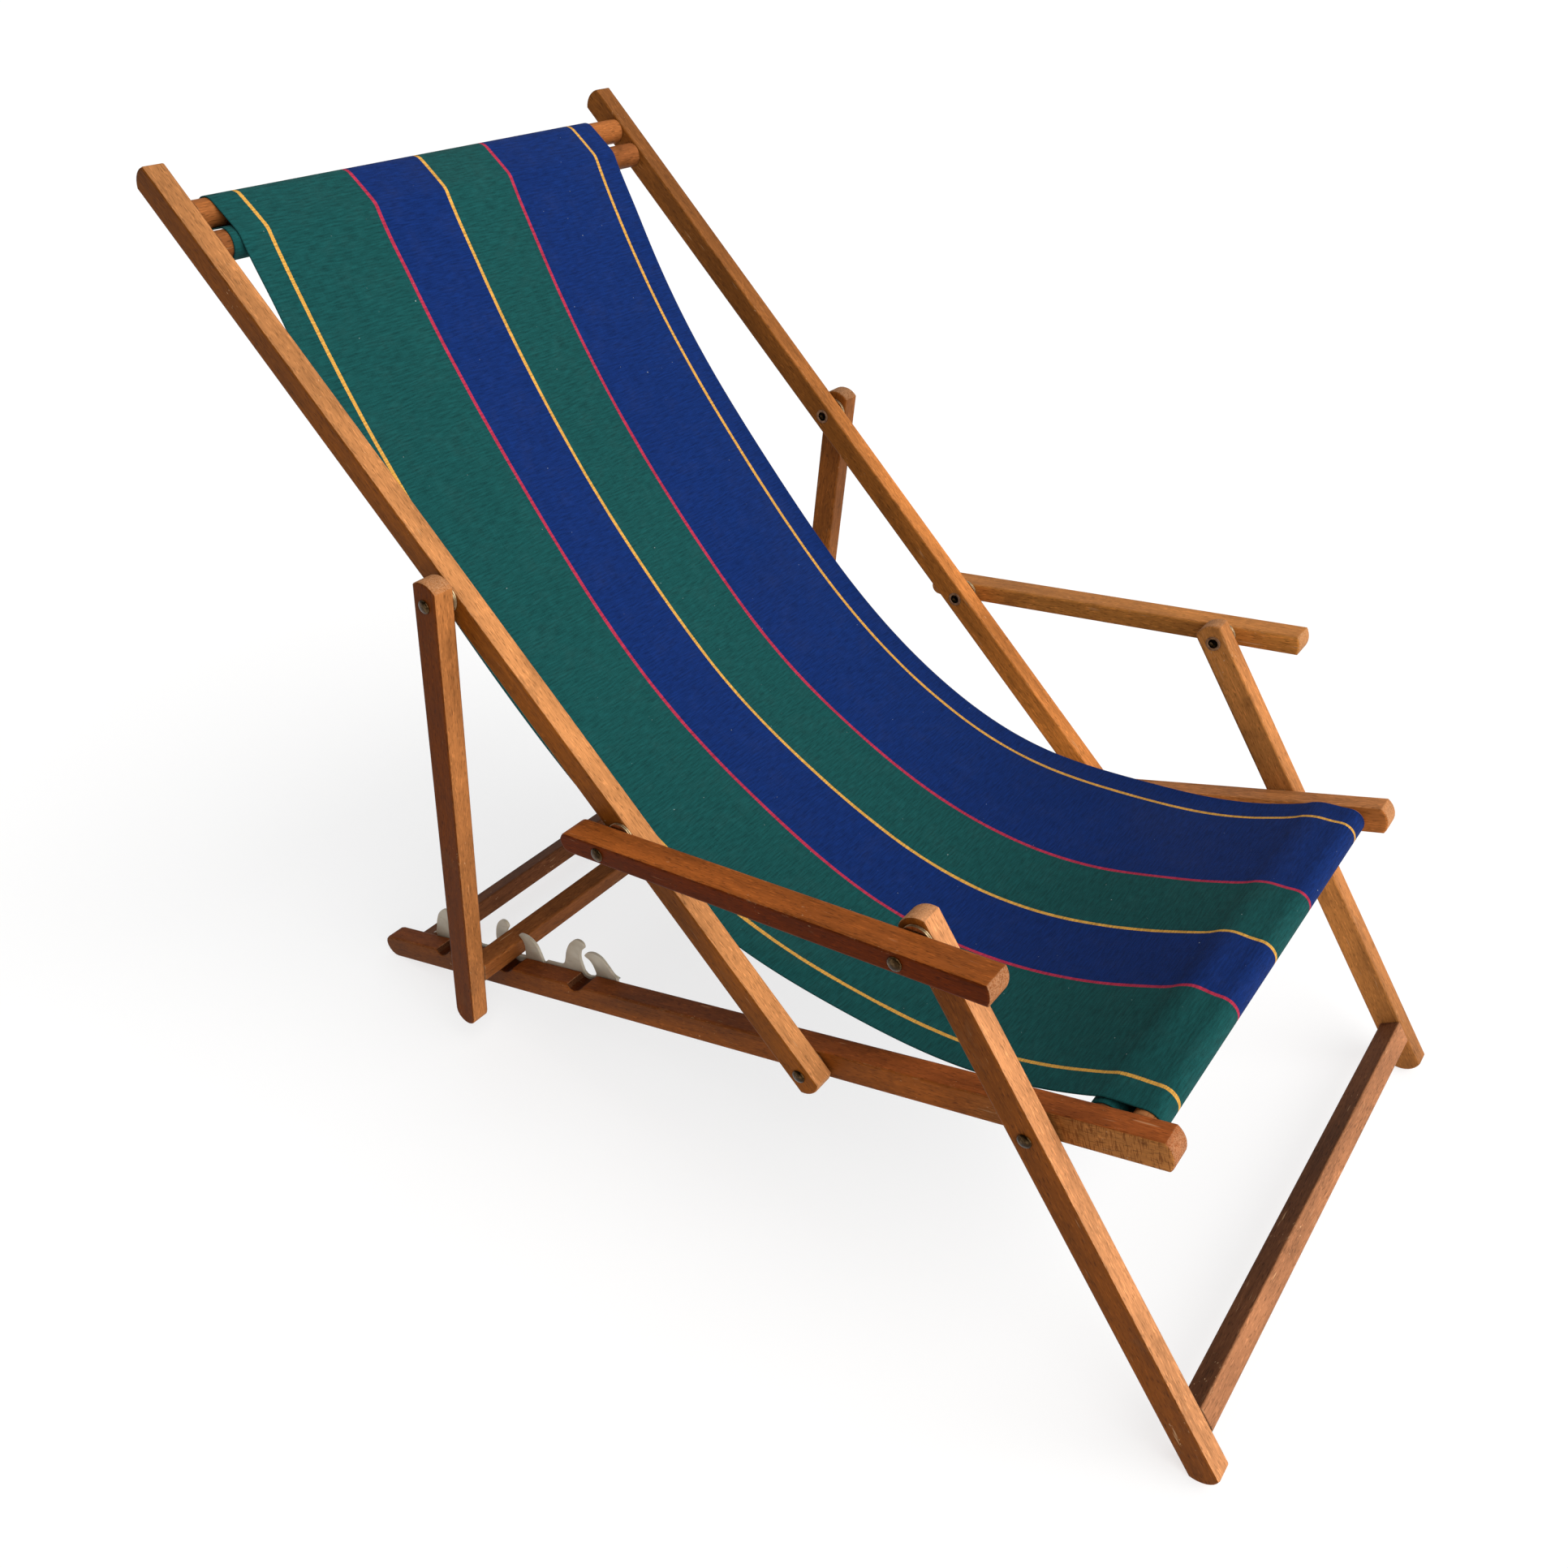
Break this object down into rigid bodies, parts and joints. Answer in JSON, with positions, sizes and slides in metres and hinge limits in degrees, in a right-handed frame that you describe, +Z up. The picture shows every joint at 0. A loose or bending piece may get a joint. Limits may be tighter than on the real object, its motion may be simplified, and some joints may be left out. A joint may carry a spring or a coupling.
{
  "type": "steamer deck chair",
  "caption": "Folding wooden deck chair with a hung striped canvas, pivoting armrests and a prop that drops into notched rails.",
  "frame": {"origin": "on the floor, under the middle of the chair's length and width", "axes": "+X towards the sitter's feet, +Y towards the sitter's left, +Z up"},
  "size_m": [1.0534, 0.6056, 0.8189],
  "materials": {
    "back_wood": "oiled, slightly worn",
    "seat_wood": "oiled, slightly worn",
    "arm_wood": "oiled, satin",
    "dark_wood": "oiled, satin",
    "rack_plastic": "slightly translucent off-white",
    "rivet_metal": "darkened by age",
    "washer_metal": "dull",
    "canvas": "woven cotton, green and blue bands with yellow and red lines"
  },
  "bodies": {
    "seat_frame": {"seat_rail_left": "seat_wood", "seat_rail_right": "seat_wood", "front_dowel_outer": "seat_wood", "front_dowel_inner": "dark_wood", "rear_cross_rail": "dark_wood", "notch_rack_left": "rack_plastic", "notch_rack_right": "rack_plastic", "back_hinge_rivet_left": "rivet_metal", "back_hinge_rivet_right": "rivet_metal", "leg_hinge_rivet_left": "rivet_metal", "leg_hinge_rivet_right": "rivet_metal", "back_hinge_washer_left": "washer_metal", "back_hinge_washer_right": "washer_metal", "leg_hinge_washer_left": "washer_metal", "leg_hinge_washer_right": "washer_metal", "canvas_seat": "canvas"},
    "back_frame": {"back_rail_left": "back_wood", "back_rail_right": "back_wood", "top_dowel_upper": "back_wood", "top_dowel_lower": "back_wood", "arm_hinge_rivet_left": "rivet_metal", "arm_hinge_rivet_right": "rivet_metal", "prop_hinge_rivet_left": "rivet_metal", "prop_hinge_rivet_right": "rivet_metal", "arm_hinge_washer_inner_left": "washer_metal", "arm_hinge_washer_inner_right": "washer_metal", "arm_hinge_washer_outer_left": "washer_metal", "arm_hinge_washer_outer_right": "washer_metal", "prop_hinge_washer_inner_left": "washer_metal", "prop_hinge_washer_inner_right": "washer_metal", "prop_hinge_washer_outer_left": "washer_metal", "prop_hinge_washer_outer_right": "washer_metal", "canvas_back": "canvas"},
    "leg_frame": {"front_leg_left": "seat_wood", "front_leg_right": "seat_wood", "leg_crossbar": "back_wood", "leg_pin_tail_left": "rivet_metal", "leg_pin_tail_right": "rivet_metal", "leg_pin_washer_left": "washer_metal", "leg_pin_washer_right": "washer_metal"},
    "prop_frame": {"prop_leg_left": "back_wood", "prop_leg_right": "back_wood", "prop_crossbar": "back_wood"},
    "armrest_left_arm": {"armrest_left": "arm_wood", "arm_pin_head_left": "rivet_metal", "arm_pin_washer_left": "washer_metal"},
    "armrest_right_arm": {"armrest_right": "arm_wood", "arm_pin_head_right": "rivet_metal", "arm_pin_washer_right": "washer_metal"}
  },
  "joints": [
    {"name": "fold", "type": "hinge", "parent": "seat_frame", "child": "back_frame", "pos_m": [0.13798, 0, 0.19993], "axis": [0, -1, 0], "range_deg": [0, 60.5], "deforming": ["canvas_back", "notch_rack_left", "notch_rack_right"]},
    {"name": "leg_fold", "type": "hinge", "parent": "seat_frame", "child": "leg_frame", "pos_m": [0.3372, 0, 0.26312], "axis": [0, -1, 0], "range_deg": [0, 72.62]},
    {"name": "prop_swing", "type": "hinge", "parent": "back_frame", "child": "prop_frame", "pos_m": [-0.2151, 0, 0.52804], "axis": [0, -1, 0], "range_deg": [-145.21, 0]},
    {"name": "armrest_left_pivot", "type": "hinge", "parent": "back_frame", "child": "armrest_left_arm", "pos_m": [-0.03929, 0, 0.36467], "axis": [0, -1, 0], "range_deg": [-50.43, 0]},
    {"name": "armrest_right_pivot", "type": "hinge", "parent": "back_frame", "child": "armrest_right_arm", "pos_m": [-0.03929, 0, 0.36467], "axis": [0, -1, 0], "range_deg": [-50.43, 0]}
  ],
  "couplings": [
    {"joint": "leg_fold", "follows": "fold", "ratio": 1.2001},
    {"joint": "prop_swing", "follows": "fold", "ratio": -2.4},
    {"joint": "armrest_left_pivot", "follows": "fold", "ratio": -0.8334},
    {"joint": "armrest_right_pivot", "follows": "fold", "ratio": -0.8334}
  ]
}
